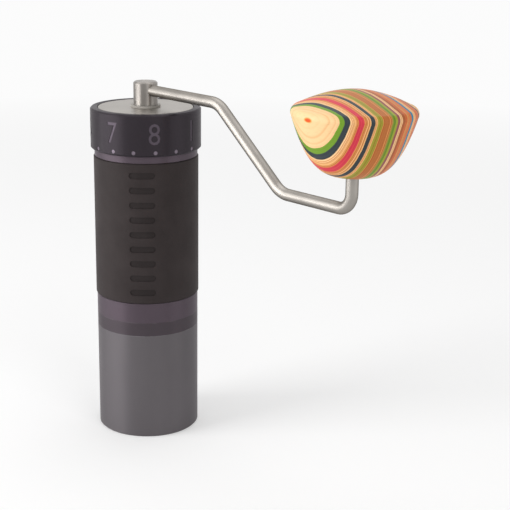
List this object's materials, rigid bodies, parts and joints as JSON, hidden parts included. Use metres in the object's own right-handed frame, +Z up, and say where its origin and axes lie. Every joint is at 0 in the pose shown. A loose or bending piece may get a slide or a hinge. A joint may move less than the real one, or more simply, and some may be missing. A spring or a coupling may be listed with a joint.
{
  "type": "hand crank coffee grinder",
  "caption": "Cylindrical hand coffee grinder with a stepped adjustment ring, a lift-off bent crank, a round laminated wood knob and a magnetic catch cup.",
  "frame": {"origin": "centre of the catch cup's flat bottom, on the drive axle", "axes": "+Z up the drive axle, +X from the axle out along the crank, +Y to the left of the crank seen from above"},
  "size_m": [0.2108, 0.0594, 0.2071],
  "materials": {
    "cup_anodised": "satin anodised, dark grey",
    "body_anodised": "satin anodised, dark purple grey",
    "collar_anodised": "satin anodised, darker grey",
    "ring_anodised": "satin anodised, near black",
    "silicone": "matt",
    "seal_rubber": "matt",
    "brushed_stainless": "brushed",
    "bearing_steel": "ground",
    "burr_steel": "ground",
    "cast_bridge": "bead blasted",
    "spring_steel": "plain",
    "magnet_nickel": "nickel plated",
    "brass": "plain",
    "bush_polymer": "satin",
    "laminated_wood": "oiled, laminated in dyed veneers"
  },
  "bodies": {
    "cup": {"catch_cup": "cup_anodised", "cup_keeper_ring": "brushed_stainless"},
    "housing": {"body_shell": "body_anodised", "grip_sleeve": "silicone", "lower_collar": "collar_anodised", "collar_magnets": "magnet_nickel", "outer_burr": "burr_steel", "burr_set_screws": "spring_steel", "lower_bridge": "cast_bridge", "lower_bearing_outer_race": "bearing_steel", "dial_snap_ring": "spring_steel", "click_ball": "bearing_steel", "click_spring": "spring_steel"},
    "dial": {"adjustment_ring": "ring_anodised", "click_ring": "spring_steel"},
    "carrier": {"bearing_carrier": "cast_bridge", "key_pins": "bearing_steel", "upper_bearing_outer_race": "bearing_steel"},
    "axle": {"drive_axle": "brushed_stainless", "upper_bearing_inner_race": "bearing_steel", "axle_circlip": "spring_steel", "inner_burr": "burr_steel", "burr_washer": "brushed_stainless", "burr_nut": "brushed_stainless"},
    "upper_cage": {"upper_bearing_balls": "bearing_steel", "upper_bearing_cage": "brass"},
    "lower_race": {"lower_bearing_inner_race": "bearing_steel", "preload_spring": "spring_steel"},
    "lower_cage": {"lower_bearing_balls": "bearing_steel", "lower_bearing_cage": "brass"},
    "crank": {"crank_hub": "brushed_stainless", "crank_arm": "brushed_stainless", "hub_circlip": "spring_steel", "knob_inner_races": "bearing_steel", "knob_spacer": "brushed_stainless", "post_circlip": "spring_steel", "post_washer": "brushed_stainless", "post_screw": "brushed_stainless"},
    "lid": {"lid": "brushed_stainless", "lid_bush": "bush_polymer", "lid_seal": "seal_rubber"},
    "knob": {"knob": "laminated_wood", "knob_sleeve": "brushed_stainless", "knob_outer_races": "bearing_steel"},
    "knob_cage": {"knob_balls": "bearing_steel", "knob_cages": "brass"}
  },
  "joints": [
    {"name": "cup_release", "type": "slide", "parent": "cup", "child": "housing", "axis": [0, 0, 1], "range_m": [0, 0.04]},
    {"name": "grind_adjust", "type": "hinge", "parent": "housing", "child": "dial", "pos_m": [0, 0, 0.168], "axis": [0, 0, 1], "range_deg": [0, 720]},
    {"name": "carrier_lift", "type": "slide", "parent": "housing", "child": "carrier", "axis": [0, 0, -1], "range_m": [0, 0.0016], "deforming": ["preload_spring"]},
    {"name": "crank_turn", "type": "hinge", "parent": "carrier", "child": "axle", "pos_m": [0, 0, 0.17], "axis": [0, 0, 1], "continuous": true},
    {"name": "upper_cage_turn", "type": "hinge", "parent": "carrier", "child": "upper_cage", "pos_m": [0, 0, 0.17], "axis": [0, 0, 1], "continuous": true},
    {"name": "lower_race_turn", "type": "hinge", "parent": "housing", "child": "lower_race", "pos_m": [0, 0, 0.095], "axis": [0, 0, 1], "continuous": true},
    {"name": "lower_cage_turn", "type": "hinge", "parent": "housing", "child": "lower_cage", "pos_m": [0, 0, 0.095], "axis": [0, 0, 1], "continuous": true},
    {"name": "crank_lift", "type": "slide", "parent": "axle", "child": "crank", "axis": [0, 0, 1], "range_m": [0, 0.03]},
    {"name": "lid_swivel", "type": "hinge", "parent": "crank", "child": "lid", "pos_m": [0, 0, 0.178], "axis": [0, 0, 1], "continuous": true},
    {"name": "knob_spin", "type": "hinge", "parent": "crank", "child": "knob", "pos_m": [0.152, 0, 0.18], "axis": [0, 0, 1], "continuous": true},
    {"name": "knob_cage_turn", "type": "hinge", "parent": "crank", "child": "knob_cage", "pos_m": [0.152, 0, 0.18], "axis": [0, 0, 1], "continuous": true}
  ],
  "couplings": [
    {"joint": "carrier_lift", "follows": "grind_adjust", "m_per_rad": 0.00012732},
    {"joint": "upper_cage_turn", "follows": "crank_turn", "ratio": 0.4},
    {"joint": "lower_race_turn", "follows": "crank_turn", "ratio": 1},
    {"joint": "lower_cage_turn", "follows": "crank_turn", "ratio": 0.4},
    {"joint": "lid_swivel", "follows": "crank_turn", "ratio": -1},
    {"joint": "knob_cage_turn", "follows": "knob_spin", "ratio": 0.425}
  ]
}
